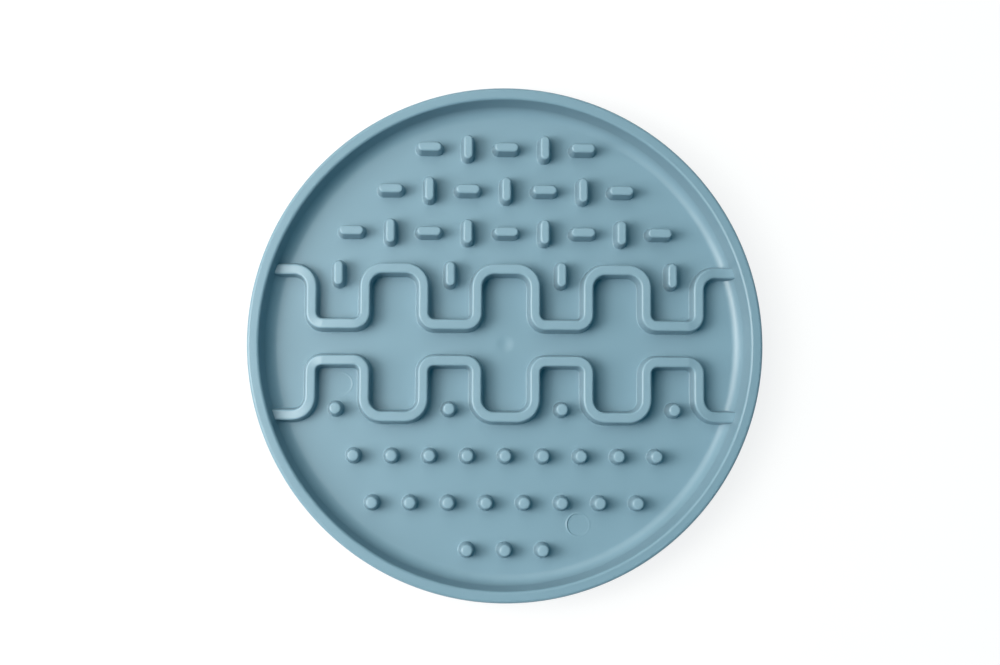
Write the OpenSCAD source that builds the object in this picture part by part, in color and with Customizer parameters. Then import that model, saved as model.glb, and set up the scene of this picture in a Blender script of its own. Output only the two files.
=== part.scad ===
// Round lick mat: one moulded tray with a raised lick pattern, standing on pressed-in soft feet.
// Millimetres, +Z up. The origin is on the supporting surface, under the middle of the tray.
// Seen from above, +X is to the right and the bars lie on the +Y side.

/* [Tray] */
// Outer diameter over the rim
tray_d = 200; // [170:1:240]
// Height of the floor above the lower edge of the skirt
floor_lift = 6.5; // [6:0.5:12]
// Height of the rim above the floor
rim_rise = 10.5; // [8:0.5:12]
// Width of the flat band on the rim
rim_w = 4.5; // [4:0.25:8]
// Radius on both edges of the rim
rim_edge_r = 1.2; // [0.4:0.1:1.6]
// Lean of the inner wall from upright, in degrees
wall_lean = 13; // [8:1:30]
// Radius of the cove where the inner wall meets the floor
cove_r = 4.9; // [2:0.1:7]

/* [Moulding] */
// Thickness of the floor
floor_t = 2.2; // [1.6:0.1:3]
// Thickness of the inner wall
wall_t = 2; // [1.6:0.1:2.6]
// Thickness of the plastic under the flat band of the rim
rim_core_t = 4; // [3:0.1:5]
// Thickness of the skirt at its lower edge
skirt_t = 1.5; // [1.2:0.1:2]
// Draft of the skirt, in degrees a side
skirt_draft = 1.5; // [0.5:0.5:3]
// Number of gussets between the wall and the skirt
gusset_count = 16; // [8:1:24]
// Thickness of a gusset
gusset_t = 1.2; // [0.8:0.1:2]
// Gap between the lower edge of the skirt and a gusset
gusset_lift = 3; // [1:0.5:6]

/* [Raised pattern] */
// Height of the pattern above the floor
pattern_h = 8; // [4:0.25:9]
// Draft of the pattern's sides, in degrees
pattern_draft = 5.5; // [2:0.5:7]
// Radius on the top edges of the pattern
pattern_edge_r = 0.9; // [0.3:0.1:1.2]
// Radius where the pattern meets the floor
pattern_foot_r = 0.4; // [0.2:0.1:0.8]

/* [Meander walls] */
// Width of a meander wall at its top
meander_w = 3.9; // [3:0.1:5]
// Length of one turn of the meander
meander_pitch = 43.5; // [40:0.5:50]
// Width of a pocket, between the middles of its two walls
pocket_w = 20.8; // [18:0.1:23]
// Depth of a pocket, between the middles of its walls
pocket_depth = 21.8; // [18:0.1:26]
// Distance between the two meander walls where they come closest
lane_w = 14.1; // [12:0.1:20]
// Bend radius of the corners beside the lane
lane_bend_r = 4.4; // [4:0.1:6]
// Bend radius of the corners away from the lane
outer_bend_r = 7; // [5:0.1:8]
// Distance that the run-out ends lie nearer the lane than the mouths of the pockets
run_out_inset = 0.5; // [0.1:0.1:2]

/* [Bars] */
// Length of a bar at its top
bar_l = 9.4; // [7:0.1:11]
// Width of a bar at its top
bar_w = 3.6; // [3:0.1:5]
// Distance between neighbouring bars in a row
bar_pitch = 15.1; // [14:0.1:18]
// Distance between rows of bars
bar_row_gap = 16.7; // [15:0.1:20]
// Distance from the meander wall to the first row of bars
bar_row_start = 14.7; // [12:0.1:18]
// Distance that the pocket bars lie in from the mouth of their pocket
pocket_bar_inset = 2; // [1:0.1:5]
// Number of rows of bars
bar_rows = 3; // [1:1:4]
// Least distance along a row from the last bar to the wall
bar_margin = 5; // [3:0.5:10]

/* [Pegs] */
// Diameter of a peg at its top
peg_d = 4.6; // [3.6:0.1:6]
// Distance between neighbouring pegs in a row
peg_pitch = 14.7; // [12:0.1:18]
// Distance between rows of pegs
peg_row_gap = 18.1; // [15:0.1:22]
// Distance from the meander wall to the first row of pegs
peg_row_start = 15; // [12:0.1:18]
// Distance that the pocket pegs lie in from the mouth of their pocket
pocket_peg_inset = 3.1; // [2:0.1:6]
// Number of rows of pegs
peg_rows = 3; // [1:1:4]
// Least distance along a row from the last peg to the wall
peg_margin = 8.5; // [6:0.5:14]

/* [Feet] */
// Number of feet
foot_count = 8; // [4:1:12]
// Diameter of a foot
foot_d = 14; // [10:0.5:18]
// Distance that the feet stand proud of the skirt
foot_proud = 1; // [0.5:0.1:2]
// Distance that the bosses end above the lower edge of the skirt
boss_lift = 1; // [0.5:0.1:1.5]
// Thickness of the plastic over a foot in its socket
socket_roof_t = 2.5; // [2:0.1:3]
// Distance from the outer edge of the tray to the middle of a foot
foot_inset = 24; // [22:1:40]
// Thickness of the wall round a socket
socket_wall = 2; // [1.4:0.1:3]
// Gap all round a foot in its socket
foot_gap = 0.1; // [0.05:0.05:0.2]
// Radius on the lower edge of a foot
foot_edge_r = 0.8; // [0.4:0.1:1.4]

/* [Moulding marks] */
// Diameter of an ejector pin
pin_d = 10; // [6:0.5:12]
// Height of the pad that an ejector pin leaves
pin_pad_h = 0.15; // [0.1:0.05:0.3]
// Diameter of the dish round the gate
gate_dish_d = 9; // [6:0.5:12]
// Depth of the dish round the gate
gate_dish_depth = 0.8; // [0.4:0.1:1]
// Diameter of the gate stub in the dish
gate_stub_d = 2; // [1:0.1:3]

/* [Hidden] */
$fn = 96;

// Extra length that takes a cut or an overlapping joint past the faces it meets
over = 0.4;
// Steps in each rounded edge
rim_steps = 5;
cove_steps = 8;
edge_steps = 3;
rib_foot_steps = 2;
skirt_steps = 2;
// Fine $fn for the full circles of the floor and rim
ring_fn = 180;

// Levels, from the supporting surface up
floor_z = foot_proud + floor_lift;
rim_z = floor_z + rim_rise;
under_z = floor_z - floor_t;
root_z = floor_z - floor_t / 2;
// How deep the pattern is rooted in the floor
root = floor_t / 2;

// Radii of the inner wall
tray_r = tray_d / 2;
wall_top_r = tray_r - rim_w;
lean_slope = tan(wall_lean);
wall_bottom_r = wall_top_r - rim_rise * lean_slope;
wall_t_flat = wall_t / cos(wall_lean);
// Edge of the flat floor, where the cove begins
floor_r = wall_bottom_r - cove_r * tan((90 - wall_lean) / 2);
skirt_slope = tan(skirt_draft);
// Radius on the lower edges of the skirt
skirt_edge_r = skirt_t / 4;

// Circle and levels of the feet: the lower end of a boss, and the ceiling that a foot touches
foot_ring_r = tray_r - foot_inset;
boss_z = foot_proud + boss_lift;
socket_z = floor_z - socket_roof_t;

// Places of the pattern
lane_y = lane_w / 2;
mouth_y = lane_y + pocket_depth;
// As many pockets as leave the outermost bends inside the foot of the wall
mouth_chord = sqrt(max(0, pow(wall_bottom_r, 2) - pow(mouth_y, 2)));
meander_count = floor((mouth_chord - pocket_w / 2 - outer_bend_r) / meander_pitch * 2) + 1;
// The pocket pegs are spread slightly wider than the pockets
peg_spread_share = 1.01;
// Places of the two ejector pins that leave a mark on the floor, in floor radii
pin_place_shares = [[0.32, -0.78], [-0.71, -0.178]];

// Length of half a chord of the floor at distance y from the middle, less a margin
function half_chord(y, margin) = max(0, sqrt(max(0, pow(floor_r, 2) - pow(y, 2))) - margin);

// Number of pieces in a row of even or odd count that fits a half chord
function odd_count(half, pitch, reach) = half < reach ? 0 : 2 * floor((half - reach) / pitch) + 1;
function even_count(half, pitch, reach) =
    half < reach + pitch / 2 ? 0 : 2 * floor((half - reach) / pitch + 1 / 2);

// Place of the piece with this index in a centred row
function row_x(index, count, pitch) = (index - (count - 1) / 2) * pitch;

// One half of the section through a drafted rib whose top is w wide, from its root up.
// Both the fillet at its foot and its top edge are arcs.
function rib_half(w) =
    let (
        slope = tan(pattern_draft),
        lean = cos(pattern_draft),
        foot_x = w / 2 + (pattern_h - pattern_foot_r) * slope + pattern_foot_r / lean,
        edge_x = w / 2 + pattern_edge_r * slope - pattern_edge_r / lean,
        turn = 90 - pattern_draft
    )
    concat(
        [[foot_x, -root]],
        [for (i = [0:rib_foot_steps])
            let (a = 90 - turn * i / rib_foot_steps)
            [foot_x - pattern_foot_r * cos(a), pattern_foot_r * (1 - sin(a))]],
        [for (i = [0:edge_steps])
            let (a = pattern_draft + turn * i / edge_steps)
            [edge_x + pattern_edge_r * cos(a), pattern_h - pattern_edge_r * (1 - sin(a))]]
    );

// Mirror of a list of section points, in reverse order
function mirrored(points) =
    [for (i = [len(points) - 1:-1:0]) [-points[i][0], points[i][1]]];

// The cove between floor and wall, seen in section from the floor up, at a depth into the
// plastic: 0 is the inner face, 1 the outer face and 1/2 the middle
function cove(depth) =
    let (
        turn = 90 - wall_lean,
        bend_r = cove_r + depth * wall_t,
        low_z = floor_z - depth * floor_t,
        corner_x = wall_bottom_r + depth * (wall_t_flat - floor_t * lean_slope),
        middle_x = corner_x - bend_r * tan(turn / 2)
    )
    [for (i = [0:cove_steps])
        let (a = turn * i / cove_steps)
        [middle_x + bend_r * sin(a), low_z + bend_r * (1 - cos(a))]];

// The same points from the last to the first
function backwards(points) =
    [for (i = [len(points) - 1:-1:0]) points[i]];

// The section through the tray, from the middle of the floor out over the rim and back underneath
function tray_section() =
    let (
        turn = 90 - wall_lean,
        edge_in_x = wall_top_r + rim_edge_r * (1 / cos(wall_lean) - lean_slope),
        edge_out_x = tray_r - rim_edge_r,
        skirt_foot_x = tray_r - (rim_z - rim_edge_r - foot_proud) * skirt_slope,
        skirt_edge_z = foot_proud + skirt_edge_r,
        channel_z = rim_z - rim_core_t,
        channel_in_x = wall_top_r + wall_t_flat - rim_core_t * lean_slope,
        skirt_in_x = skirt_foot_x - skirt_t,
        channel_out_x = max(skirt_in_x - (channel_z - foot_proud) * skirt_slope, channel_in_x + over)
    )
    concat(
        [[0, floor_z]],
        cove(0),
        [for (i = [0:rim_steps])
            let (a = 180 - wall_lean - turn * i / rim_steps)
            [edge_in_x + rim_edge_r * cos(a), rim_z - rim_edge_r * (1 - sin(a))]],
        [for (i = [0:rim_steps])
            let (a = 90 - 90 * i / rim_steps)
            [edge_out_x + rim_edge_r * cos(a), rim_z - rim_edge_r * (1 - sin(a))]],
        [for (i = [0:skirt_steps])
            let (a = 90 * i / skirt_steps)
            [skirt_foot_x - skirt_edge_r * (1 - cos(a)), skirt_edge_z - skirt_edge_r * sin(a)]],
        [for (i = [0:skirt_steps])
            let (a = 90 - 90 * i / skirt_steps)
            [skirt_in_x + skirt_edge_r * (1 - cos(a)), skirt_edge_z - skirt_edge_r * sin(a)]],
        [
            [channel_out_x, channel_z],
            [channel_in_x, channel_z]
        ],
        backwards(cove(1)),
        [[0, under_z]]
    );

// Straight stretch of meander wall, from one point to another
module straight(from, to) {
    run = to - from;
    translate([from[0], from[1], floor_z])
        rotate([0, 0, atan2(run[1], run[0])])
            rotate([90, 0, 90])
                linear_extrude(norm(run))
                    polygon(concat(rib_half(meander_w), mirrored(rib_half(meander_w))));
}

// Quarter bend of meander wall round a middle point
module bend(middle, bend_r, start) {
    translate([middle[0], middle[1], floor_z])
        rotate([0, 0, start])
            rotate_extrude(angle = 90)
                translate([bend_r, 0])
                    polygon(concat(rib_half(meander_w), mirrored(rib_half(meander_w))));
}

// What the run-out ends of the meander may fill: the bowl and the inner half of its wall
module bowl_core() {
    top_z = floor_z + pattern_h + over;
    rotate_extrude($fn = ring_fn)
        polygon(concat(
            [[0, root_z]],
            cove(1 / 2),
            [
                [wall_bottom_r + wall_t_flat / 2 + (top_z - floor_z) * lean_slope, top_z],
                [0, top_z]
            ]
        ));
}

// Distance from the middle line to the meander on this side of the pocket with this index
function top_y(index, hand) =
    index == (hand < 0 ? 0 : meander_count - 1) ? mouth_y - run_out_inset : mouth_y;

// One pocket of the meander: two sides, its bottom by the lane and four bends
module pocket(index) {
    x = row_x(index, meander_count, meander_pitch);
    side = pocket_w / 2;
    for (hand = [-1, 1]) {
        high_y = top_y(index, hand) - outer_bend_r;
        straight([x + hand * side, lane_y + lane_bend_r], [x + hand * side, high_y]);
        bend([x + hand * (side - lane_bend_r), lane_y + lane_bend_r], lane_bend_r, hand < 0 ? 180 : 270);
        bend([x + hand * (side + outer_bend_r), high_y], outer_bend_r, hand < 0 ? 0 : 90);
    }
    straight([x - side + lane_bend_r, lane_y], [x + side - lane_bend_r, lane_y]);
}

// The whole meander on the +Y side of the lane, with its ends run out into the wall
module meander() {
    reach = pocket_w / 2 + outer_bend_r;
    for (i = [0:1:meander_count - 1])
        pocket(i);
    for (i = [0:1:meander_count - 2])
        straight([row_x(i, meander_count, meander_pitch) + reach, mouth_y],
            [row_x(i + 1, meander_count, meander_pitch) - reach, mouth_y]);
    for (hand = [-1, 1])
        intersection() {
            straight(
                [hand * (row_x(meander_count - 1, meander_count, meander_pitch) + reach),
                    mouth_y - run_out_inset],
                [hand * tray_r, mouth_y - run_out_inset]
            );
            bowl_core();
        }
}

// Round drafted peg
module peg(x, y) {
    translate([x, y, floor_z])
        rotate_extrude()
            polygon(concat([[0, -root]], rib_half(peg_d), [[0, pattern_h]]));
}

// Drafted bar with round ends, along X when turned by 0
module bar(x, y, turned) {
    half = (bar_l - bar_w) / 2;
    translate([x, y, floor_z])
        rotate([0, 0, turned]) {
            translate([-half, 0, 0])
                rotate([90, 0, 90])
                    linear_extrude(2 * half)
                        polygon(concat(rib_half(bar_w), mirrored(rib_half(bar_w))));
            for (end = [0, 1])
                rotate([0, 0, end * 180])
                    translate([half, 0, 0])
                        rotate([0, 0, -90])
                            rotate_extrude(angle = 180)
                                polygon(concat([[0, -root]], rib_half(bar_w), [[0, pattern_h]]));
        }
}

// Rows of bars that lie along and across by turns, and one bar in each pocket
module bars() {
    for (row = [0:1:bar_rows - 1]) {
        y = mouth_y + bar_row_start + row * bar_row_gap;
        count = odd_count(half_chord(y, bar_margin), bar_pitch, bar_l / 2);
        for (i = [0:1:count - 1])
            bar(row_x(i, count, bar_pitch), y, i % 2 * 90);
    }
    for (i = [0:1:meander_count - 1])
        bar(row_x(i, meander_count, meander_pitch), mouth_y - pocket_bar_inset, 90);
}

// Staggered rows of pegs, and one peg in each pocket
module pegs() {
    for (row = [0:1:peg_rows - 1]) {
        y = mouth_y + peg_row_start + row * peg_row_gap;
        half = half_chord(y, peg_margin);
        count = row % 2 == 0
            ? odd_count(half, peg_pitch, peg_d / 2)
            : even_count(half, peg_pitch, peg_d / 2);
        for (i = [0:1:count - 1])
            peg(row_x(i, count, peg_pitch), -y);
    }
    for (i = [0:1:meander_count - 1])
        peg(row_x(i, meander_count, meander_pitch) * peg_spread_share, -(mouth_y - pocket_peg_inset));
}

// Low round pads that two ejector pins leave on the floor
module pin_pads() {
    for (share = pin_place_shares)
        translate([floor_r * share[0], floor_r * share[1], root_z])
            cylinder(h = root + pin_pad_h, d = pin_d);
}

// Thin upright gusset that ties the wall to the skirt inside the rim
module gusset(turned) {
    low_z = foot_proud + gusset_lift;
    high_z = rim_z - rim_core_t / 2;
    out_x = tray_r - (rim_z - low_z) * skirt_slope - skirt_t / 2;
    rotate([0, 0, turned])
        translate([0, gusset_t / 2, 0])
            rotate([90, 0, 0])
                linear_extrude(gusset_t)
                    polygon([
                        cove(1 / 2)[cove_steps / 2],
                        [out_x, low_z],
                        [out_x, high_z],
                        [wall_top_r + wall_t_flat / 2 - rim_core_t / 2 * lean_slope, high_z],
                        cove(1 / 2)[cove_steps]
                    ]);
}

// Angle of the foot with this number, counted from 1
function foot_angle(number) = (number - 1 / 2) * 360 / foot_count;

// Round boss under the floor that carries one foot
module socket_boss() {
    boss_r = foot_d / 2 + foot_gap + socket_wall;
    translate([0, 0, boss_z])
        cylinder(h = root_z - boss_z, r1 = boss_r, r2 = boss_r + (root_z - boss_z) * skirt_slope);
}

module tray() {
    color("#93b4c2")
        difference() {
            union() {
                rotate_extrude($fn = ring_fn)
                    polygon(tray_section());
                meander();
                mirror([0, 1, 0]) meander();
                bars();
                pegs();
                pin_pads();
                for (i = [0:1:gusset_count - 1])
                    gusset(i * 360 / gusset_count);
                for (i = [1:foot_count])
                    rotate([0, 0, foot_angle(i)])
                        translate([foot_ring_r, 0, 0])
                            socket_boss();
            }
            for (i = [1:foot_count])
                rotate([0, 0, foot_angle(i)])
                    translate([foot_ring_r, 0, boss_z - over])
                        cylinder(h = socket_z - boss_z + over, d = foot_d + 2 * foot_gap);
            difference() {
                translate([0, 0, under_z - over])
                    cylinder(h = gate_dish_depth + over, d = gate_dish_d);
                translate([0, 0, under_z])
                    cylinder(h = gate_dish_depth + over, d = gate_stub_d);
            }
        }
}

// Soft foot: a round button that fills its socket and stands on its flat lower face
module foot(number) {
    foot_r = foot_d / 2;
    color("#c9cbc8")
        rotate([0, 0, foot_angle(number)])
            translate([foot_ring_r, 0, 0])
                rotate_extrude()
                    polygon(concat(
                        [[0, 0]],
                        [for (i = [0:edge_steps])
                            let (a = 90 * i / edge_steps)
                            [foot_r - foot_edge_r * (1 - sin(a)), foot_edge_r * (1 - cos(a))]],
                        [[foot_r, socket_z], [0, socket_z]]
                    ));
}

tray();
for (i = [1:foot_count])
    foot(i);
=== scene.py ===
"""Round moulded lick mat on a pale floor, built round its packed frame. Metres, +Z up."""

import math

import bmesh
import bpy
from bpy.props import FloatProperty, FloatVectorProperty, IntProperty, PointerProperty, StringProperty
from mathutils import Matrix, Vector


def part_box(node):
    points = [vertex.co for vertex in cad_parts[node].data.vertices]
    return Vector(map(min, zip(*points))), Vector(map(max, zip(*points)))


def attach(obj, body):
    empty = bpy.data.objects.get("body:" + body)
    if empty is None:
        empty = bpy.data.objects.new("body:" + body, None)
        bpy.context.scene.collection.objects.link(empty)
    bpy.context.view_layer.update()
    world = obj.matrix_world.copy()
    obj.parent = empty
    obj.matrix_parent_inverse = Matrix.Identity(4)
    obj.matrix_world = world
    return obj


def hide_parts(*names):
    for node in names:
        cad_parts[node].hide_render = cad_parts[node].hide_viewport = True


bl_info = {
    "name": "Lick Mat",
    "version": (1, 0, 0),
    "blender": (4, 5, 0),
    "location": "View3D > Sidebar > Lick Mat",
    "description": "Builds a moulded lick mat with its soft feet, floor, light and camera",
    "category": "Add Mesh",
}

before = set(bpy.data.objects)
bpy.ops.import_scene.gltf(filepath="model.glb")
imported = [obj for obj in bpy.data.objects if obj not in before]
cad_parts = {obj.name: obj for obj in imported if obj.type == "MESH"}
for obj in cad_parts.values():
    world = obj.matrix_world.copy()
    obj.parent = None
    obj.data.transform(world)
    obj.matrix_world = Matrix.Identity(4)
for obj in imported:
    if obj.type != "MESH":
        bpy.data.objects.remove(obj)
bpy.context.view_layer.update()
MM = 0.001


def linear_colour(hex_text):
    """Turns an sRGB hex colour, such as #84a3b2, into linear red, green, blue and alpha."""
    channels = [int(hex_text.lstrip("#")[i:i + 2], 16) / 255 for i in (0, 2, 4)]
    return [c / 12.92 if c <= 0.04045 else ((c + 0.055) / 1.055) ** 2.4 for c in channels] + [1.0]


# Sizes and colours that a user may change

def size(name, about, millimetres):
    """A length property that shows in the scene's units and is given here in millimetres."""
    return FloatProperty(name=name, description=about, default=millimetres * MM, min=0, unit="LENGTH",
                         precision=5)


def angle(name, about, degrees):
    """An angle property that is given here in degrees."""
    return FloatProperty(name=name, description=about, default=math.radians(degrees), subtype="ANGLE")


def power(name, about, watts):
    """The power of a light in watts."""
    return FloatProperty(name=name, description=about, default=watts, min=0)


class TraySizes(bpy.types.PropertyGroup):
    """Sizes of the moulded tray"""

    diameter: size("Diameter", "Outer diameter over the rim", 200)
    floor_lift: size("Floor lift", "Height of the floor above the lower edge of the skirt", 6.5)
    rim_rise: size("Rim rise", "Height of the rim above the floor", 10.5)
    rim_width: size("Rim width", "Width of the flat band on the rim", 4.5)
    rim_edge_radius: size("Rim edge radius", "Radius on both edges of the rim", 1.2)
    wall_lean: angle("Wall lean", "Lean of the inner wall from upright", 13)
    cove_radius: size("Cove radius", "Radius of the cove where the inner wall meets the floor", 4.9)
    floor_thickness: size("Floor thickness", "Thickness of the floor", 2.2)
    wall_thickness: size("Wall thickness", "Thickness of the inner wall", 2)
    rim_core: size("Rim core", "Thickness of the plastic under the flat band of the rim", 4)
    skirt_thickness: size("Skirt thickness", "Thickness of the skirt at its lower edge", 1.5)
    skirt_draft: angle("Skirt draft", "Draft of the skirt on each side", 1.5)
    gussets: IntProperty(name="Gussets", description="Number of gussets between wall and skirt", default=16)
    gusset_thickness: size("Gusset thickness", "Thickness of a gusset", 1.2)
    gusset_lift: size("Gusset lift", "Gap between the lower edge of the skirt and a gusset", 3)
    pin_diameter: size("Ejector pin", "Diameter of the marks that the ejector pins leave", 10)
    pin_height: size("Pin flash height", "Height of the thin ring of flash round an ejector pin", 0.4)
    pin_flash: size("Pin flash width", "Width of the ring of flash round an ejector pin", 1.1)
    sink_radius: size("Sink radius", "Radius of the shallow sink over the gate", 4)
    sink_depth: size("Sink depth", "Depth of the sink over the gate", 0.3)
    gate_dish: size("Gate dish", "Diameter of the dish round the gate, underneath", 9)
    gate_depth: size("Gate depth", "Depth of the dish round the gate", 0.8)
    gate_stub: size("Gate stub", "Diameter of the stub that the gate leaves in its dish", 2)


class PatternSizes(bpy.types.PropertyGroup):
    """Sizes of the raised lick pattern"""

    height: size("Height", "Height of the pattern above the floor", 8)
    draft: angle("Draft", "Draft of the pattern's sides", 5.5)
    edge_radius: size("Edge radius", "Radius on the top edges of the pattern", 0.9)
    foot_radius: size("Foot radius", "Radius where the pattern meets the floor", 0.4)
    meander_width: size("Meander width", "Width of a meander wall at its top", 3.9)
    meander_pitch: size("Meander pitch", "Length of one turn of the meander", 43.5)
    pocket_width: size("Pocket width", "Width of a pocket between the middles of its walls", 20.8)
    pocket_depth: size("Pocket depth", "Depth of a pocket between the middles of its walls", 21.8)
    lane_width: size("Lane width", "Distance between the meander walls where they come closest", 14.1)
    lane_bend: size("Lane bend", "Bend radius of the corners beside the lane", 4.4)
    outer_bend: size("Outer bend", "Bend radius of the corners away from the lane", 7)
    run_out_inset: size("Run-out inset", "How much nearer the lane the ends lie than the mouths", 0.5)
    run_out_drop: size("Run-out drop", "How far the ends slope down to the wall", 3.5)
    bar_length: size("Bar length", "Length of a bar at its top", 9.4)
    bar_width: size("Bar width", "Width of a bar at its top", 3.6)
    bar_pitch: size("Bar pitch", "Distance between neighbouring bars in a row", 15.1)
    bar_row_gap: size("Bar row gap", "Distance between rows of bars", 16.7)
    bar_row_start: size("Bar row start", "Distance from the meander to the first row of bars", 14.7)
    bar_rows: IntProperty(name="Bar rows", description="Number of rows of bars", default=3)
    bar_margin: size("Bar margin", "Least distance along a row from the last bar to the wall", 5)
    pocket_bar_inset: size("Pocket bar inset", "Distance of a bar from the mouth of its pocket", 2)
    peg_diameter: size("Peg diameter", "Diameter of a peg at its top", 4.6)
    peg_pitch: size("Peg pitch", "Distance between neighbouring pegs in a row", 14.7)
    peg_row_gap: size("Peg row gap", "Distance between rows of pegs", 18.1)
    peg_row_start: size("Peg row start", "Distance from the meander to the first row of pegs", 15)
    peg_rows: IntProperty(name="Peg rows", description="Number of rows of pegs", default=3)
    peg_margin: size("Peg margin", "Least distance along a row from the last peg to the wall", 8.5)
    pocket_peg_inset: size("Pocket peg inset", "Distance of a peg from the mouth of its pocket", 3.1)


class FootSizes(bpy.types.PropertyGroup):
    """Sizes of the soft feet and their sockets"""

    proud: size("Proud", "Distance that the feet stand proud of the skirt", 1)
    boss_lift: size("Boss lift", "Distance that the bosses end above the lower edge of the skirt", 1)
    socket_roof: size("Socket roof", "Thickness of the plastic over a foot in its socket", 2.5)
    inset: size("Inset", "Distance from the outer edge of the tray to the middle of a foot", 24)
    socket_wall: size("Socket wall", "Thickness of the wall round a socket", 2)
    gap: size("Gap", "Gap all round a foot in its socket", 0.1)
    edge_radius: size("Edge radius", "Radius on the lower edge of a foot", 0.8)


class FinishColours(bpy.types.PropertyGroup):
    """Colours of the mouldings and of the floor, as sRGB hex values"""

    tray: StringProperty(name="Tray", description="Dusty blue-grey of the tray", default="#84a3b2")
    # Painted highlight: the pattern's tops are painted paler and greyer than the floor
    painted_top_greying: FloatProperty(name="Greyer tops", default=0.06, min=0, max=1,
                                description="How much less colour the rubbed tops have than the floor")
    painted_top_light: FloatProperty(name="Paler tops", default=0.08, min=0, max=1,
                               description="How much paler the rubbed tops of the pattern are than the floor")
    # Painted shade: the steep sides are painted deeper in colour than the floor
    painted_side_shade: FloatProperty(name="Deeper sides", default=0.148, min=0, max=1,
                              description="How much deeper in colour the steep sides are than the floor")
    tray_roughness: FloatProperty(name="Tray roughness", description="Roughness of the moulded skin",
                                  default=0.31, min=0, max=1)
    tray_sheen: FloatProperty(name="Tray sheen", description="Strength of the skin's mirror reflections",
                              default=0.455, min=0, max=1)
    feet: StringProperty(name="Feet", description="Pale grey of the soft feet", default="#bcc0bf")
    floor: StringProperty(name="Floor", description="White of the studio floor", default="#f6f6f6")


class StudioSizes(bpy.types.PropertyGroup):
    """Camera and lights, measured from the middle of the mat"""

    camera_place: FloatVectorProperty(name="Camera", description="Place of the camera", subtype="XYZ",
                                      unit="LENGTH", default=(-0.0327, -0.0434, 0.6561))
    camera_aim: FloatVectorProperty(name="Aim", description="Point of the mat that the camera looks at",
                                    subtype="XYZ", unit="LENGTH", default=(-0.0076, 0.0121, 0.0075))
    camera_roll: angle("Roll", "Turn of the camera about its line of sight", 0.325)
    camera_shift: FloatVectorProperty(name="Shift", size=2, default=(0.0142, -0.0192),
                                      description="How far the picture is cropped off centre, in its widths")
    focal_length: FloatProperty(name="Focal length", description="Focal length in mm on a 36 mm frame",
                                default=59.6, min=1)
    window_heading: angle("Window heading", "Turn of the window light round the mat, from the right", 181.9)
    window_climb: angle("Window climb", "Height of the window light over the floor, seen from the mat", 46.1)
    window_width: size("Window width", "Width of the window light", 603)
    window_height: size("Window height", "Height of the window light", 1233)
    window_distance: size("Window distance", "Distance from the mat to the middle of the window light", 1002)
    window_power: power("Window power", "Power of the window light", 11.4)
    core_heading: angle("Core heading", "Turn of the window's bright middle round the mat", 182)
    core_climb: angle("Core climb", "Height of the window's bright middle, seen from the mat", 50)
    core_width: size("Core width", "Width of the window's bright middle", 281)
    core_height: size("Core height", "Height of the window's bright middle", 281)
    core_distance: size("Core distance", "Distance from the mat to the window's bright middle", 1000)
    core_power: power("Core power", "Power of the window's bright middle", 2.1)
    panel_heading: angle("Panel heading", "Turn of the weaker soft panel round the mat", 121.8)
    panel_climb: angle("Panel climb", "Height of the soft panel over the floor, seen from the mat", 55.3)
    panel_width: size("Panel width", "Width of the soft panel", 1340)
    panel_height: size("Panel height", "Height of the soft panel", 1090)
    panel_distance: size("Panel distance", "Distance from the mat to the middle of the soft panel", 1500)
    panel_power: power("Panel power", "Power of the soft panel", 6.71)
    fill: FloatProperty(name="Fill", description="Strength of the even light all round", default=0.117, min=0)
    window_tint: FloatVectorProperty(name="Window tint", description="Linear colour of the window light",
                                     subtype="COLOR", default=(1.0, 0.965, 0.925))
    core_tint: FloatVectorProperty(name="Core tint", subtype="COLOR", default=(1.0, 0.965, 0.925),
                                   description="Linear colour of the window's bright middle")
    panel_tint: FloatVectorProperty(name="Panel tint", description="Linear colour of the soft panel",
                                    subtype="COLOR", default=(1.0, 0.95, 0.85))
    fill_tint: FloatVectorProperty(name="Fill tint", description="Linear colour of the even light all round",
                                   subtype="COLOR", default=(0.05, 1.05, 1.45), max=2)


# Small tools for meshes and materials

def arc(middle, radius, start, end, steps):
    """Points of a circular arc about a middle point, with angles in radians, both ends included."""
    return [(middle[0] + radius * math.cos(start + (end - start) * i / steps),
             middle[1] + radius * math.sin(start + (end - start) * i / steps)) for i in range(steps + 1)]


def revolve(mesh, section, middle, steps):
    """Adds the solid that a section of (radius, height) points sweeps about an upright axis. A point on
    the axis gives one vertex for all turns."""
    rings = []
    poles = {}
    for k in range(steps):
        heading = 2 * math.pi * k / steps
        ring = []
        for i, (radius, height) in enumerate(section):
            if radius == 0 and i in poles:
                ring.append(poles[i])
                continue
            vertex = mesh.verts.new((middle[0] + radius * math.cos(heading),
                                     middle[1] + radius * math.sin(heading), middle[2] + height))
            ring.append(vertex)
            if radius == 0:
                poles[i] = vertex
        rings.append(ring)
    for here, there in zip(rings, rings[1:] + rings[:1]):
        for i in range(len(section)):
            j = (i + 1) % len(section)
            corners = list(dict.fromkeys((here[i], there[i], there[j], here[j])))
            if len(corners) > 2:
                mesh.faces.new(corners)


def sweep(mesh, rings):
    """Adds the solid that runs through a list of rings of points, closed at both ends."""
    loops = [[mesh.verts.new(point) for point in ring] for ring in rings]
    for here, there in zip(loops, loops[1:]):
        for i in range(len(here)):
            j = (i + 1) % len(here)
            mesh.faces.new((here[i], here[j], there[j], there[i]))
    mesh.faces.new(list(reversed(loops[0])))
    mesh.faces.new(loops[-1])


def finished_object(name, mesh):
    """Makes an object from bmesh data, with its normals facing out."""
    bmesh.ops.recalc_face_normals(mesh, faces=mesh.faces)
    data = bpy.data.meshes.new(name)
    mesh.to_mesh(data)
    mesh.free()
    thing = bpy.data.objects.new(name, data)
    bpy.context.scene.collection.objects.link(thing)
    return thing


def combine(base, tool, operation):
    """Joins the tool to the base, or cuts it away, and removes the tool."""
    step = base.modifiers.new(operation.lower(), "BOOLEAN")
    step.operation = operation
    step.solver = "MANIFOLD"
    step.object = tool
    apply_modifiers(base)
    bpy.data.objects.remove(tool)


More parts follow.
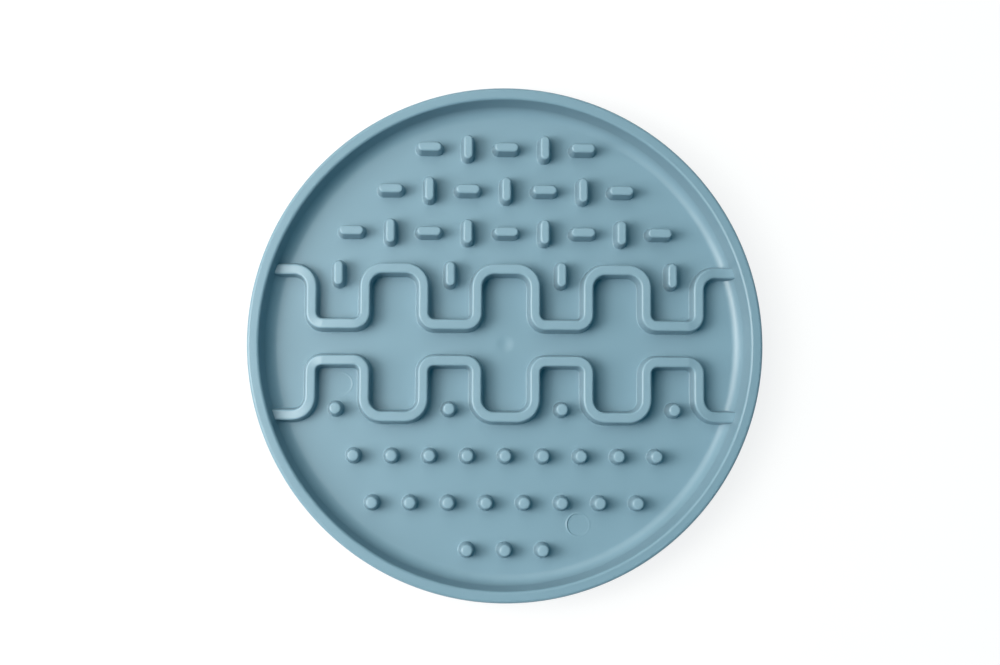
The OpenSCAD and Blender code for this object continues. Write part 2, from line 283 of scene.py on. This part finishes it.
def apply_modifiers(thing):
    """Turns an object's modifiers into plain mesh."""
    evaluated = thing.evaluated_get(bpy.context.evaluated_depsgraph_get())
    data = bpy.data.meshes.new_from_object(evaluated)
    old = thing.data
    thing.modifiers.clear()
    thing.data = data
    bpy.data.meshes.remove(old)


def shade_moulded(thing, sharp_degrees=38):
    """Smooth shading that keeps crisp corners and flat faces, as a moulding has."""
    thing.data.shade_smooth()
    thing.data.set_sharp_from_angle(angle=math.radians(sharp_degrees))
    flats = thing.modifiers.new("flats", "WEIGHTED_NORMAL")
    flats.keep_sharp = True
    flats.weight = 100


def add_node(material, kind, links=None, **settings):
    """Adds one shader node. Settings name its properties or, as numbers or colours, its inputs;
    links maps an input to the output socket that feeds it."""
    node = material.node_tree.nodes.new(kind)
    for key, value in settings.items():
        if hasattr(node, key):
            setattr(node, key, value)
        else:
            node.inputs[key.replace("_", " ")].default_value = value
    for key, source in (links or {}).items():
        material.node_tree.links.new(source, node.inputs[key])
    return node


def new_material(name):
    """An empty node material with its surface shader and output."""
    material = bpy.data.materials.new(name)
    material.use_nodes = True
    material.node_tree.nodes.clear()
    shader = add_node(material, "ShaderNodeBsdfPrincipled")
    output = add_node(material, "ShaderNodeOutputMaterial")
    material.node_tree.links.new(shader.outputs["BSDF"], output.inputs["Surface"])
    return material, shader


# Materials

# A noise texture stays mostly between these two values
NOISE_LOW, NOISE_HIGH = 0.3, 0.7


def moulded_polypropylene(finish, plan):
    """Injection-moulded polypropylene: a waxy half-matte skin from a spark-eroded mould. It gives broad soft
    highlights on the edges, an even colour and a faint ripple on the wide flat floor. The pattern's tops
    carry a painted highlight, paler and greyer, and its steep sides carry painted shade, deeper in colour."""
    material, shader = new_material("Moulded polypropylene")
    links = material.node_tree.links
    place = add_node(material, "ShaderNodeNewGeometry").outputs["Position"]
    # Slow flow marks, about 40 mm across, that shift the colour by a hair
    flow = add_node(material, "ShaderNodeTexNoise", {"Vector": place}, Scale=1 / (40 * MM), Detail=2.0)
    tint = add_node(material, "ShaderNodeHueSaturation", Color=linear_colour(finish.tray))
    shade = add_node(material, "ShaderNodeMapRange", {"Value": flow.outputs["Fac"]},
                     From_Min=NOISE_LOW, From_Max=NOISE_HIGH, To_Min=0.985, To_Max=1.015)
    # Painted highlight: the upper part of the pattern, up to this share of its height, is painted paler and
    # greyer than the floor, as though it caught more light; the rim is not painted
    highlit_share = 0.7
    level = add_node(material, "ShaderNodeSeparateXYZ", {"Vector": place}).outputs["Z"]
    raised = add_node(material, "ShaderNodeMapRange", {"Value": level}, From_Min=plan.floor_z,
                      From_Max=plan.floor_z + plan.pattern.height * highlit_share)
    # The distance from the middle tells the pattern from the wall and the rim
    flat_place = add_node(material, "ShaderNodeVectorMath", {0: place}, operation="MULTIPLY")
    flat_place.inputs[1].default_value = (1, 1, 0)
    reach = add_node(material, "ShaderNodeVectorMath", {0: flat_place.outputs[0]}, operation="LENGTH")
    inside = add_node(material, "ShaderNodeMapRange", {"Value": reach.outputs["Value"]},
                      From_Min=plan.wall_bottom, From_Max=plan.wall_top, To_Min=1.0, To_Max=0.0)
    rubbed = add_node(material, "ShaderNodeMath", {0: raised.outputs["Result"], 1: inside.outputs["Result"]},
                      operation="MULTIPLY")
    pale = add_node(material, "ShaderNodeMapRange", {"Value": rubbed.outputs[0]}, name="rubbed",
                    To_Min=1.0, To_Max=1 + finish.painted_top_light)
    grey = add_node(material, "ShaderNodeMapRange", {"Value": rubbed.outputs[0]}, name="greyed",
                    To_Min=1.0, To_Max=1 - finish.painted_top_greying)
    links.new(grey.outputs["Result"], tint.inputs["Saturation"])
    # Painted shade: the steep sides are painted deeper in colour than the floor, as though they lay in shade.
    # Up to the first height of its normal a side is steep, and from the second on it lies level
    steep, flat = 0.3, 0.85
    facing = add_node(material, "ShaderNodeSeparateXYZ",
                      {"Vector": add_node(material, "ShaderNodeNewGeometry").outputs["Normal"]}).outputs["Z"]
    deep = add_node(material, "ShaderNodeMapRange", {"Value": facing}, name="steep", From_Min=steep,
                    From_Max=flat, To_Min=1 - finish.painted_side_shade, To_Max=1.0)
    tops = add_node(material, "ShaderNodeMath", {0: shade.outputs["Result"], 1: pale.outputs["Result"]},
                    operation="MULTIPLY")
    both = add_node(material, "ShaderNodeMath", {0: tops.outputs[0], 1: deep.outputs["Result"]},
                    operation="MULTIPLY")
    links.new(both.outputs[0], tint.inputs["Value"])
    links.new(tint.outputs["Color"], shader.inputs["Base Color"])
    # Spark-erosion grain is about 0.05 mm; it is drawn at 0.5 mm so that it shows in the render
    grain = add_node(material, "ShaderNodeTexNoise", {"Vector": place}, Scale=1 / (0.5 * MM), Detail=3.0)
    ripple = add_node(material, "ShaderNodeTexNoise", {"Vector": place}, Scale=1 / (18 * MM), Detail=1.0)
    skin = add_node(material, "ShaderNodeBump", {"Height": grain.outputs["Fac"]}, Strength=0.12,
                    Distance=0.02 * MM)
    wave = add_node(material, "ShaderNodeBump",
                    {"Height": ripple.outputs["Fac"], "Normal": skin.outputs["Normal"]},
                    Strength=0.25, Distance=0.1 * MM)
    links.new(wave.outputs["Normal"], shader.inputs["Normal"])
    # The tops and hollows of the grain differ this much from the mean roughness
    spread = 0.03
    gloss = add_node(material, "ShaderNodeMapRange", {"Value": grain.outputs["Fac"]}, name="gloss",
                     From_Min=NOISE_LOW, From_Max=NOISE_HIGH, To_Min=finish.tray_roughness - spread,
                     To_Max=finish.tray_roughness + spread)
    links.new(gloss.outputs["Result"], shader.inputs["Roughness"])
    shader.inputs["IOR"].default_value = 1.49
    shader.inputs["Specular IOR Level"].default_value = finish.tray_sheen
    return material


def moulded_tpe(colour):
    """Moulded thermoplastic elastomer: dull and slightly dusty, with no clear highlight."""
    material, shader = new_material("Moulded TPE")
    links = material.node_tree.links
    place = add_node(material, "ShaderNodeNewGeometry").outputs["Position"]
    dust = add_node(material, "ShaderNodeTexNoise", {"Vector": place}, Scale=1 / (2.5 * MM), Detail=4.0)
    tint = add_node(material, "ShaderNodeHueSaturation", Color=linear_colour(colour))
    shade = add_node(material, "ShaderNodeMapRange", {"Value": dust.outputs["Fac"]},
                     From_Min=NOISE_LOW, From_Max=NOISE_HIGH, To_Min=0.94, To_Max=1.04)
    links.new(shade.outputs["Result"], tint.inputs["Value"])
    links.new(tint.outputs["Color"], shader.inputs["Base Color"])
    grain = add_node(material, "ShaderNodeTexNoise", {"Vector": place}, Scale=1 / (0.6 * MM), Detail=3.0)
    skin = add_node(material, "ShaderNodeBump", {"Height": grain.outputs["Fac"]}, Strength=0.3,
                    Distance=0.05 * MM)
    links.new(skin.outputs["Normal"], shader.inputs["Normal"])
    shader.inputs["Roughness"].default_value = 0.75
    shader.inputs["IOR"].default_value = 1.5
    return material


def studio_white(colour):
    """Matt white studio floor: the camera sees it lit close to white, and it keeps a soft shadow."""
    material, shader = new_material("Studio white")
    links = material.node_tree.links
    shader.inputs["Base Color"].default_value = linear_colour(colour)
    shader.inputs["Roughness"].default_value = 0.9
    shader.inputs["Specular IOR Level"].default_value = 0.0
    # What the camera sees is mostly plain white; the rest is the lit floor, which keeps the shadow
    plain_white, plain_share = 1.06, 0.8
    glow = add_node(material, "ShaderNodeEmission", Color=(1, 1, 1, 1), Strength=plain_white)
    ray = add_node(material, "ShaderNodeLightPath")
    seen = add_node(material, "ShaderNodeMath",
                    {0: ray.outputs["Is Camera Ray"], 1: ray.outputs["Is Glossy Ray"]}, operation="MAXIMUM")
    part = add_node(material, "ShaderNodeMath", {0: seen.outputs[0]}, operation="MULTIPLY")
    part.inputs[1].default_value = plain_share
    blend = add_node(material, "ShaderNodeMixShader", {"Fac": part.outputs[0]})
    links.new(shader.outputs["BSDF"], blend.inputs[1])
    links.new(glow.outputs["Emission"], blend.inputs[2])
    output = next(n for n in material.node_tree.nodes if n.type == "OUTPUT_MATERIAL")
    links.new(blend.outputs["Shader"], output.inputs["Surface"])
    return material


# Forms of the tray

# Facets round a full turn, fine enough to look round at the size each has in the picture
RIM_FACETS, BOWL_FACETS, FOOT_FACETS, PIN_FACETS, GATE_FACETS, PEG_FACETS = 288, 180, 72, 72, 48, 36
# Steps round a bend of the meander, a bar's end or the cove, round a small edge or fillet, and along a
# run-out of the meander, over a ring of flash or into the sink
BEND_STEPS, EDGE_STEPS, SLOPE_STEPS = 14, 6, 8
# Steps round the inner and the outer edge of the rim and each side of the skirt's lower edge
RIM_IN_STEPS, RIM_OUT_STEPS, SKIRT_STEPS = 10, 12, 4
# Rings that part the flat of the floor, so that its facets stay short
FLOOR_RINGS = 6
# Ring on the sole of a foot and bottom of the gate dish, as shares of their radii
SOLE_RING_SHARE, DISH_BOTTOM_SHARE = 0.45, 0.8
# The pattern is cut to the bowl up to this share of its height
BOWL_SHARE = 1.1
# The pocket pegs are spread slightly wider than the pockets
PEG_SPREAD_SHARE = 1.01
# Places of the two ejector pins that leave a mark on the floor, in floor radii; one is much fainter
PIN_PLACE_SHARES = ((0.3236, -0.7887), (-0.7179, -0.18))
PIN_HEIGHT_SHARES = (1, 0.2)
# Each ring of flash is highest on one side, given as its angle round the pin, and this low opposite
PIN_WORN_SIDES = (math.radians(175), math.radians(15))
FLASH_LOW_SHARE = 0.12


class TrayPlan:
    """Levels, radii and places worked out once from the sizes."""

    def __init__(self, scene):
        self.tray = tray = scene.lick_mat_tray
        self.pattern = pattern = scene.lick_mat_pattern
        self.feet = feet = scene.lick_mat_feet
        self.floor_z = feet.proud + tray.floor_lift
        self.rim_z = self.floor_z + tray.rim_rise
        self.under_z = self.floor_z - tray.floor_thickness
        # The pattern and the bosses are rooted this deep in the floor
        self.root = tray.floor_thickness / 2
        self.radius = tray.diameter / 2
        self.slope = math.tan(tray.wall_lean)
        self.wall_top = self.radius - tray.rim_width
        self.wall_bottom = self.wall_top - tray.rim_rise * self.slope
        # The wall's thickness, measured level
        self.wall_flat = tray.wall_thickness / math.cos(tray.wall_lean)
        self.floor_r = self.cove(0)[0][0]
        self.skirt_slope = math.tan(tray.skirt_draft)
        self.lane_y = pattern.lane_width / 2
        self.mouth_y = self.lane_y + pattern.pocket_depth
        self.run_out_y = self.mouth_y - pattern.run_out_inset
        half_row = math.sqrt(self.wall_bottom ** 2 - self.mouth_y ** 2) - pattern.pocket_width / 2
        self.pockets = math.floor((half_row - pattern.outer_bend) / pattern.meander_pitch * 2) + 1
        self.boss_z = feet.proud + feet.boss_lift
        self.socket_z = self.floor_z - feet.socket_roof
        low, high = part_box("foot_1")
        self.foot_radius = (high.x - low.x) / 2
        self.foot_ring = self.radius - feet.inset
        self.foot_count = sum(name.startswith("foot_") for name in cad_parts)

    def cove(self, depth):
        """The cove between floor and wall in section, from the floor up, at a depth into the plastic:
        0 is the inner face, 1 the outer face and 1/2 the middle."""
        tray = self.tray
        turn = math.pi / 2 - tray.wall_lean
        bend = tray.cove_radius + depth * tray.wall_thickness
        corner = self.wall_bottom + depth * (self.wall_flat - tray.floor_thickness * self.slope)
        middle = (corner - bend * math.tan(turn / 2), self.floor_z - depth * tray.floor_thickness + bend)
        return arc(middle, bend, -math.pi / 2, -tray.wall_lean, BEND_STEPS)

    def foot_places(self):
        """Where the middles of the feet stand on the floor, from foot_1 on."""
        for number in range(self.foot_count):
            heading = (number + 0.5) * 2 * math.pi / self.foot_count
            yield self.foot_ring * math.cos(heading), self.foot_ring * math.sin(heading), 0

    def half_chord(self, y, margin):
        """Half of the floor's chord at distance y from the middle, less a margin."""
        return math.sqrt(max(0.0, self.floor_r ** 2 - y ** 2)) - margin


def row_places(count, pitch):
    """Places along a centred row."""
    return [(i - (count - 1) / 2) * pitch for i in range(count)]


def tray_section(plan):
    """Section of the tray from the middle of the floor, out over the rim and back underneath."""
    tray = plan.tray
    lean, quarter = tray.wall_lean, math.pi / 2
    edge = tray.rim_edge_radius
    edge_in = plan.wall_top + edge * (1 / math.cos(lean) - plan.slope)
    inner = arc((edge_in, plan.rim_z - edge), edge, math.pi - lean, quarter, RIM_IN_STEPS)
    outer = arc((plan.radius - edge, plan.rim_z - edge), edge, quarter, 0, RIM_OUT_STEPS)
    skirt_foot = plan.radius - (plan.rim_z - edge - plan.feet.proud) * plan.skirt_slope
    skirt_in = skirt_foot - tray.skirt_thickness
    channel_z = plan.rim_z - tray.rim_core
    low_round = tray.skirt_thickness / 4
    round_z = plan.feet.proud + low_round
    lower_edge = arc((skirt_foot - low_round, round_z), low_round, 0, -quarter, SKIRT_STEPS)
    lower_edge += arc((skirt_in + low_round, round_z), low_round, -quarter, -math.pi, SKIRT_STEPS)
    channel_out = skirt_in - (channel_z - plan.feet.proud) * plan.skirt_slope
    channel_in = plan.wall_top + plan.wall_flat - tray.rim_core * plan.slope
    sink = [(tray.sink_radius * k / SLOPE_STEPS,
             plan.floor_z - tray.sink_depth * math.cos(quarter * k / SLOPE_STEPS) ** 2)
            for k in range(SLOPE_STEPS + 1)]
    floor_rings = sink + [(plan.floor_r * k / FLOOR_RINGS, plan.floor_z) for k in range(1, FLOOR_RINGS)]
    under_rings = [(plan.floor_r * k / FLOOR_RINGS, plan.under_z) for k in range(FLOOR_RINGS - 1, -1, -1)]
    return (floor_rings + plan.cove(0) + inner + outer + lower_edge
            + [(channel_out, channel_z), (channel_in, channel_z)] + plan.cove(1)[::-1] + under_rings)


def rib_half(plan, width):
    """One half of the section through a drafted rib, from its root up to its top edge."""
    pattern = plan.pattern
    slope, lean = math.tan(pattern.draft), math.cos(pattern.draft)
    quarter = math.pi / 2
    foot_r, edge_r = pattern.foot_radius, pattern.edge_radius
    foot_x = width / 2 + (pattern.height - foot_r) * slope + foot_r / lean
    edge_x = width / 2 + edge_r * slope - edge_r / lean
    foot = arc((foot_x, foot_r), foot_r, -quarter, -math.pi + pattern.draft, EDGE_STEPS)
    edge = arc((edge_x, pattern.height - edge_r), edge_r, pattern.draft, quarter, EDGE_STEPS)
    return [(foot_x, -plan.root)] + foot + edge


def rib_section(plan, width):
    """The whole section of a rib, as (offset to the side, height) points."""
    half = rib_half(plan, width)
    return half + [(-x, z) for x, z in reversed(half)]


def meander_path(plan):
    """Places and headings along the middle of one meander, from its left end to its right end."""
    pattern = plan.pattern
    side, quarter = pattern.pocket_width / 2, math.pi / 2
    inner, outer = pattern.lane_bend, pattern.outer_bend
    path = []
    places = row_places(plan.pockets, pattern.meander_pitch)
    for x in places:
        left = plan.run_out_y if x == places[0] else plan.mouth_y
        right = plan.run_out_y if x == places[-1] else plan.mouth_y
        bends = (
            ((x - side - outer, left - outer), outer, quarter, 0),
            ((x - side + inner, plan.lane_y + inner), inner, math.pi, 3 * quarter),
            ((x + side - inner, plan.lane_y + inner), inner, 3 * quarter, 4 * quarter),
            ((x + side + outer, right - outer), outer, math.pi, quarter),
        )
        for middle, radius, start, end in bends:
            heading_turn = math.copysign(quarter, end - start)
            for i, place in enumerate(arc(middle, radius, start, end, BEND_STEPS)):
                path.append((place, start + (end - start) * i / BEND_STEPS + heading_turn))
    return path


def add_meander(mesh, plan, hand):
    """Adds one meander wall; hand is 1 on the side of the bars and -1 on the side of the pegs."""
    section = rib_section(plan, plan.pattern.meander_width)
    path = meander_path(plan)
    turn = row_places(plan.pockets, plan.pattern.meander_pitch)[-1]
    wall = math.sqrt(plan.wall_bottom ** 2 - plan.run_out_y ** 2)
    bend_end = abs(path[-1][0][0])
    straight = [bend_end + (wall - bend_end) * i / SLOPE_STEPS for i in range(1, SLOPE_STEPS + 1)]
    straight.append(plan.radius)
    path = ([((-x, plan.run_out_y), 0) for x in reversed(straight)] + path
            + [((x, plan.run_out_y), 0) for x in straight])

    def ring(x, y, heading):
        """The wall's section at one place. Past the middle of the outer pocket it sinks towards the wall."""
        share = min(max((abs(x) - turn) / (wall - turn), 0), 1)
        low = 1 - plan.pattern.run_out_drop / plan.pattern.height * math.sin(math.pi / 2 * share) ** 2
        return [(x - math.sin(heading) * s, hand * (y + math.cos(heading) * s),
                 plan.floor_z + (z * low if z > 0 else z)) for s, z in section]

    sweep(mesh, [ring(x, y, heading) for (x, y), heading in path])


def add_bar(mesh, plan, x, y, turned):
    """Adds one round-ended bar, along X or turned to lie along Y."""
    half = (plan.pattern.bar_length - plan.pattern.bar_width) / 2
    section = rib_half(plan, plan.pattern.bar_width)
    outline = [(middle, -math.pi / 2 + math.pi * (i / BEND_STEPS + end))
               for end, middle in enumerate((half, -half)) for i in range(BEND_STEPS + 1)]
    rings = []
    for radius, z in section:
        ring = []
        for middle, heading in outline:
            along = middle + radius * math.cos(heading)
            across = radius * math.sin(heading)
            place = (x - across, y + along) if turned else (x + along, y + across)
            ring.append((place[0], place[1], plan.floor_z + z))
        rings.append(ring)
    sweep(mesh, rings)


def add_peg(mesh, plan, x, y):
    """Adds one round peg."""
    section = rib_half(plan, plan.pattern.peg_diameter)
    closed = [(0, section[0][1])] + section + [(0, section[-1][1])]
    revolve(mesh, closed, (x, y, plan.floor_z), PEG_FACETS)


def add_cylinder(mesh, middle, radius, low, high, top_radius=None):
    """Adds an upright round solid between two levels, for the sockets and their bosses."""
    revolve(mesh, [(0, low), (radius, low), (top_radius or radius, high), (0, high)], middle, FOOT_FACETS)


def add_pin_mark(mesh, plan, middle, height_share, worn_side):
    """Adds the ring of flash that an ejector pin leaves. It is highest on the worn side of the pin, given
    as an angle, and dies out opposite."""
    radius, flash = plan.tray.pin_diameter / 2, plan.tray.pin_flash
    low = plan.floor_z - plan.root
    rings = []
    for k in range(PIN_FACETS):
        heading = 2 * math.pi * k / PIN_FACETS
        wear = (1 + math.cos(heading - worn_side)) / 2
        height = plan.tray.pin_height * height_share * (FLASH_LOW_SHARE + (1 - FLASH_LOW_SHARE) * wear ** 2)
        ridge = [(radius - flash * i / SLOPE_STEPS,
                  plan.floor_z + height * math.sin(math.pi * i / SLOPE_STEPS) ** 2)
                 for i in range(SLOPE_STEPS + 1)]
        across, along = math.cos(heading), math.sin(heading)
        rings.append([mesh.verts.new((middle[0] + r * across, middle[1] + r * along, z))
                      for r, z in [(radius, low)] + ridge + [(radius - flash, low)]])
    for here, there in zip(rings, rings[1:] + rings[:1]):
        for i in range(len(here)):
            j = (i + 1) % len(here)
            mesh.faces.new((here[i], here[j], there[j], there[i]))


def pattern_mesh(plan):
    """Everything that stands on the floor, as closed solids rooted in it."""
    pattern = plan.pattern
    mesh = bmesh.new()
    add_meander(mesh, plan, 1)
    add_meander(mesh, plan, -1)
    for row in range(pattern.bar_rows):
        y = plan.mouth_y + pattern.bar_row_start + row * pattern.bar_row_gap
        room = plan.half_chord(y, pattern.bar_margin) - pattern.bar_length / 2
        count = 2 * math.floor(room / pattern.bar_pitch) + 1
        for i, x in enumerate(row_places(count, pattern.bar_pitch)):
            add_bar(mesh, plan, x, y, i % 2 == 1)
    for row in range(pattern.peg_rows):
        y = plan.mouth_y + pattern.peg_row_start + row * pattern.peg_row_gap
        room = (plan.half_chord(y, pattern.peg_margin) - pattern.peg_diameter / 2) / pattern.peg_pitch
        count = 2 * math.floor(room + 0.5) if row % 2 else 2 * math.floor(room) + 1
        for x in row_places(count, pattern.peg_pitch):
            add_peg(mesh, plan, x, -y)
    for x in row_places(plan.pockets, pattern.meander_pitch):
        add_bar(mesh, plan, x, plan.mouth_y - pattern.pocket_bar_inset, True)
        add_peg(mesh, plan, x * PEG_SPREAD_SHARE, -(plan.mouth_y - pattern.pocket_peg_inset))
    for (x, y), height_share, worn_side in zip(PIN_PLACE_SHARES, PIN_HEIGHT_SHARES, PIN_WORN_SIDES):
        add_pin_mark(mesh, plan, (x * plan.floor_r, y * plan.floor_r), height_share, worn_side)
    return mesh


def bowl_mesh(plan):
    """What the pattern may fill: the bowl, to a little over the pattern, and the inner half of its wall."""
    top = plan.floor_z + plan.pattern.height * BOWL_SHARE
    reach = plan.wall_bottom + plan.wall_flat / 2 + (top - plan.floor_z) * plan.slope
    low = plan.floor_z - plan.root
    mesh = bmesh.new()
    revolve(mesh, [(0, low)] + plan.cove(0.5) + [(reach, top), (0, top)], (0, 0, 0), BOWL_FACETS)
    return mesh


def underside_mesh(plan):
    """Gussets between wall and skirt, and the bosses that carry the feet."""
    tray, feet = plan.tray, plan.feet
    mesh = bmesh.new()
    low = feet.proud + tray.gusset_lift
    skirt_x = plan.radius - (plan.rim_z - low) * plan.skirt_slope - tray.skirt_thickness / 2
    high = plan.rim_z - tray.rim_core / 2
    wall_x = plan.wall_top + plan.wall_flat / 2 - tray.rim_core / 2 * plan.slope
    cove = plan.cove(0.5)
    profile = [cove[len(cove) // 2], (skirt_x, low), (skirt_x, high), (wall_x, high), cove[-1]]
    half = tray.gusset_thickness / 2
    for k in range(tray.gussets):
        turn = Matrix.Rotation(2 * math.pi * k / tray.gussets, 4, "Z")
        sweep(mesh, [[turn @ Vector((x, side, z)) for x, z in profile] for side in (-half, half)])
    boss_r = plan.foot_radius + feet.gap + feet.socket_wall
    top = plan.floor_z - plan.root
    for middle in plan.foot_places():
        add_cylinder(mesh, middle, boss_r, plan.boss_z, top, boss_r + (top - plan.boss_z) * plan.skirt_slope)
    return mesh


def hollow_mesh(plan):
    """The sockets for the feet and the dish round the gate, to be cut away."""
    tray, feet = plan.tray, plan.feet
    # The cutters start a little outside the plastic, so that no skin is left
    over = feet.gap * 4
    mesh = bmesh.new()
    for middle in plan.foot_places():
        add_cylinder(mesh, middle, plan.foot_radius + feet.gap, plan.boss_z - over, plan.socket_z)
    dish, stub, deep = tray.gate_dish / 2, tray.gate_stub / 2, plan.under_z + tray.gate_depth
    revolve(mesh, [(stub, plan.under_z - over), (dish, plan.under_z - over), (dish, plan.under_z),
                   (dish * DISH_BOTTOM_SHARE, deep), (stub, deep)], (0, 0, 0), GATE_FACETS)
    return mesh


# Operators

class LICKMAT_OT_tray(bpy.types.Operator):
    """Model the moulded tray with its rim, meanders, bars, pegs and underside"""

    bl_idname = "lick_mat.tray"
    bl_label = "Tray"

    def execute(self, context):
        plan = TrayPlan(context.scene)
        body = bmesh.new()
        revolve(body, tray_section(plan), (0, 0, 0), RIM_FACETS)
        tray = finished_object("tray_moulding", body)
        pattern = finished_object("pattern", pattern_mesh(plan))
        combine(pattern, finished_object("bowl", bowl_mesh(plan)), "INTERSECT")
        combine(tray, pattern, "UNION")
        combine(tray, finished_object("underside", underside_mesh(plan)), "UNION")
        combine(tray, finished_object("hollows", hollow_mesh(plan)), "DIFFERENCE")
        shade_moulded(tray)
        tray.data.materials.clear()
        tray.data.materials.append(moulded_polypropylene(context.scene.lick_mat_colours, plan))
        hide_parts("tray")
        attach(tray, "root")
        return {"FINISHED"}


class LICKMAT_OT_feet(bpy.types.Operator):
    """Model the soft feet in their sockets"""

    bl_idname = "lick_mat.feet"
    bl_label = "Feet"

    def execute(self, context):
        plan = TrayPlan(context.scene)
        material = moulded_tpe(context.scene.lick_mat_colours.feet)
        edge, radius = plan.feet.edge_radius, plan.foot_radius
        sole = [(0, 0), (radius * SOLE_RING_SHARE, 0)]
        section = (sole + arc((radius - edge, edge), edge, -math.pi / 2, 0, EDGE_STEPS)
                   + [(radius, plan.socket_z), (0, plan.socket_z)])
        for number, middle in enumerate(plan.foot_places(), start=1):
            mesh = bmesh.new()
            revolve(mesh, section, middle, FOOT_FACETS)
            foot = finished_object(f"soft_foot_{number}", mesh)
            shade_moulded(foot)
            foot.data.materials.append(material)
            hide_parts(f"foot_{number}")
            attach(foot, "root")
        return {"FINISHED"}


class LICKMAT_OT_stage(bpy.types.Operator):
    """Set out the white floor, the soft light from the left and the camera"""

    bl_idname = "lick_mat.stage"
    bl_label = "Stage"

    def execute(self, context):
        scene, studio = context.scene, context.scene.lick_mat_studio
        scene.view_settings.view_transform = "Standard"
        self.add_floor(scene)
        self.add_lights(scene, studio)
        self.add_camera(scene, studio)
        return {"FINISHED"}

    def add_floor(self, scene):
        """A wide round floor under the feet, 4 m from the middle to its edge."""
        mesh = bmesh.new()
        bmesh.ops.create_circle(mesh, cap_ends=True, radius=4, segments=96)
        floor = finished_object("floor", mesh)
        floor.data.materials.append(studio_white(scene.lick_mat_colours.floor))

    def add_lamp(self, scene, name, studio):
        """One soft rectangular light, turned to the middle of the mat."""
        lamp = bpy.data.lights.new(name, "AREA")
        lamp.shape = "RECTANGLE"
        lamp.size = getattr(studio, name + "_width")
        lamp.size_y = getattr(studio, name + "_height")
        lamp.energy = getattr(studio, name + "_power")
        lamp.color = getattr(studio, name + "_tint")
        heading, climb = getattr(studio, name + "_heading"), getattr(studio, name + "_climb")
        away = Vector((math.cos(heading) * math.cos(climb), math.sin(heading) * math.cos(climb),
                       math.sin(climb)))
        stand = bpy.data.objects.new(name, lamp)
        scene.collection.objects.link(stand)
        stand.location = away * getattr(studio, name + "_distance")
        stand.rotation_euler = away.to_track_quat("Z", "Y").to_euler()

    def add_lights(self, scene, studio):
        """A tall window-like light from the left with a bright middle, which gives the shadows their firmer
        edge, a weak soft panel from the far left, and an even fill."""
        self.add_lamp(scene, "window", studio)
        self.add_lamp(scene, "core", studio)
        self.add_lamp(scene, "panel", studio)
        world = bpy.data.worlds.new("room")
        scene.world = world
        world.use_nodes = True
        world.node_tree.nodes.clear()
        fill = add_node(world, "ShaderNodeBackground", Color=(*studio.fill_tint, 1), Strength=studio.fill)
        white = add_node(world, "ShaderNodeBackground", Color=(1, 1, 1, 1), Strength=1.0)
        ray = add_node(world, "ShaderNodeLightPath")
        mix = add_node(world, "ShaderNodeMixShader", {"Fac": ray.outputs["Is Camera Ray"]})
        world.node_tree.links.new(fill.outputs[0], mix.inputs[1])
        world.node_tree.links.new(white.outputs[0], mix.inputs[2])
        add_node(world, "ShaderNodeOutputWorld", {"Surface": mix.outputs[0]})

    def add_camera(self, scene, studio):
        """The view from almost straight above."""
        data = bpy.data.cameras.new("camera")
        data.lens = studio.focal_length
        data.sensor_width = 36
        data.shift_x, data.shift_y = studio.camera_shift
        camera = bpy.data.objects.new("camera", data)
        scene.collection.objects.link(camera)
        place, aim = Vector(studio.camera_place), Vector(studio.camera_aim)
        away = (place - aim).normalized()
        right = Vector((0, 1, 0)).cross(away).normalized()
        turned = Matrix((right, away.cross(right), away)).transposed()
        roll = Matrix.Rotation(studio.camera_roll, 3, "Z")
        camera.matrix_world = Matrix.Translation(place) @ (turned @ roll).to_4x4()
        scene.camera = camera


class LICKMAT_PT_panel(bpy.types.Panel):
    """Lists the lick mat's pieces and sizes"""

    bl_idname = "LICKMAT_PT_panel"
    bl_label = "Lick Mat"
    bl_space_type = "VIEW_3D"
    bl_region_type = "UI"
    bl_category = "Lick Mat"

    def draw(self, context):
        layout, scene = self.layout, context.scene
        for step in STEPS:
            layout.operator(step.bl_idname)
        for name, group in GROUPS.items():
            box = layout.box()
            box.label(text=group.__doc__)
            for key in group.__annotations__:
                box.prop(getattr(scene, name), key)


GROUPS = {
    "lick_mat_tray": TraySizes,
    "lick_mat_pattern": PatternSizes,
    "lick_mat_feet": FootSizes,
    "lick_mat_colours": FinishColours,
    "lick_mat_studio": StudioSizes,
}
STEPS = (LICKMAT_OT_stage, LICKMAT_OT_tray, LICKMAT_OT_feet)


def register():
    """Registers the classes and keeps the sizes and colours with the scene."""
    for group in GROUPS.values():
        bpy.utils.register_class(group)
    for step in STEPS:
        bpy.utils.register_class(step)
    bpy.utils.register_class(LICKMAT_PT_panel)
    for name, group in GROUPS.items():
        setattr(bpy.types.Scene, name, PointerProperty(type=group))


def unregister():
    """Takes back what register adds."""
    for name in GROUPS:
        delattr(bpy.types.Scene, name)
    bpy.utils.unregister_class(LICKMAT_PT_panel)
    for step in reversed(STEPS):
        bpy.utils.unregister_class(step)
    for group in reversed(GROUPS.values()):
        bpy.utils.unregister_class(group)


def main():
    """Builds the whole scene."""
    register()
    bpy.ops.lick_mat.stage()
    bpy.ops.lick_mat.tray()
    bpy.ops.lick_mat.feet()


if __name__ == "__main__":
    main()
